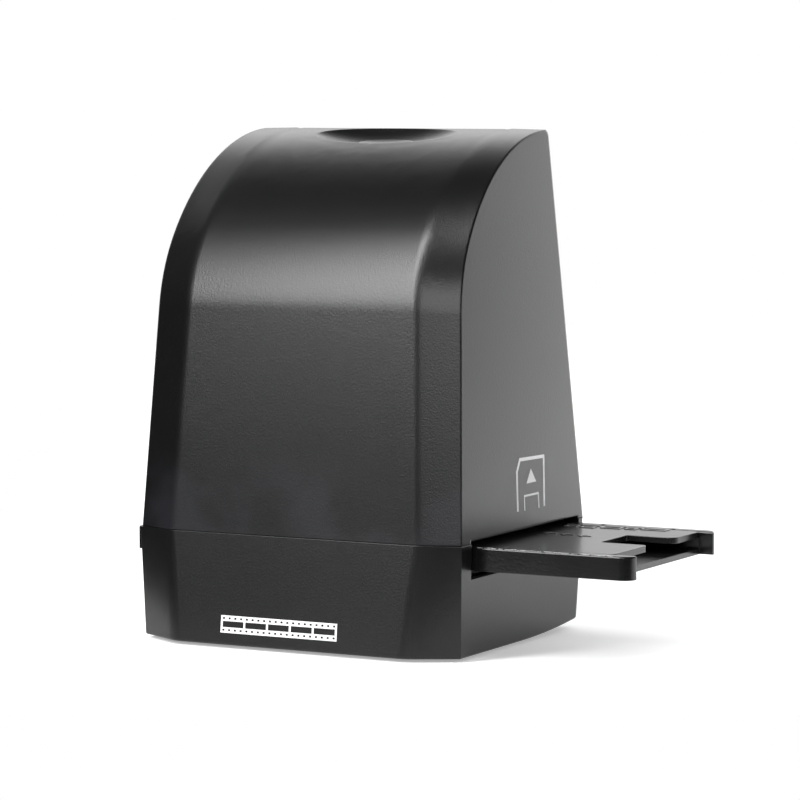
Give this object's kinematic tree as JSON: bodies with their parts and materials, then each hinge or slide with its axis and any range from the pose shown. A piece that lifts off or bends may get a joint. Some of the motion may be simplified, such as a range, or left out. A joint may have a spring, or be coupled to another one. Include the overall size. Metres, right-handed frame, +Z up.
{
  "type": "film negative scanner",
  "caption": "Upright desktop scanner for film and slides: a drafted two-part case with a curved front, a sliding slide tray through the base and a scan button in a dish on top.",
  "frame": {"origin": "on the standing plane, under the middle of the case's width and depth", "axes": "+X is the way the slide tray pulls out, +Y runs from the curved front to the flat leaning back, +Z is up"},
  "size_m": [0.1362, 0.0749, 0.1276],
  "materials": {
    "case": "satin",
    "tray": "satin",
    "button": "gloss",
    "guide": "matt",
    "white_plastic": "matt",
    "opal": "satin",
    "clear": "polished",
    "lamp": "gloss",
    "lens": "coated",
    "filter": "coated",
    "chip": "matt",
    "board": "solder mask",
    "steel": "zinc plated",
    "spring_steel": "bright",
    "tin": "tin plated",
    "rubber": "matt",
    "felt": "felt",
    "ribbon": "satin",
    "cable": "satin"
  },
  "bodies": {
    "case": {"base_shell": "case", "board_screws": "steel", "button_board": "board", "button_board_screws": "steel", "button_plugs": "white_plastic", "button_ribbon": "ribbon", "case_screws": "steel", "diffuser": "opal", "front_lens": "lens", "guide_screws": "steel", "hood_shell": "case", "image_chip": "chip", "image_sensor": "chip", "infrared_filter": "filter", "lamp_board": "board", "lamp_cable": "cable", "lamp_plugs": "white_plastic", "lamps": "lamp", "lens_barrel": "guide", "lens_holder": "guide", "light_die": "lamp", "light_pipe": "clear", "light_seals": "felt", "light_tunnel": "guide", "lower_guide": "guide", "main_board": "board", "memory_chip": "chip", "rear_lens": "lens", "reflector": "white_plastic", "ribbon_plugs": "white_plastic", "rubber_feet": "rubber", "scan_switch": "chip", "sensor_board": "board", "sensor_ribbon": "ribbon", "sensor_screws": "steel", "tray_spring": "spring_steel", "tunnel_screws": "steel", "upper_guide": "guide", "upper_guide_screws": "steel", "usb_socket": "tin", "usb_tongue": "chip"},
    "tray": {"tray_cover": "tray", "tray_frame": "tray"},
    "button": {"scan_button": "button", "switch_plunger": "white_plastic"}
  },
  "joints": [
    {"name": "tray_slide", "type": "slide", "parent": "case", "child": "tray", "axis": [1, 0, 0], "range_m": [-0.04, 0.08]},
    {"name": "scan_button_press", "type": "slide", "parent": "case", "child": "button", "axis": [0, 0.2025, -0.9793], "range_m": [0, 0.0008], "stiffness_N_per_m": 1500}
  ]
}
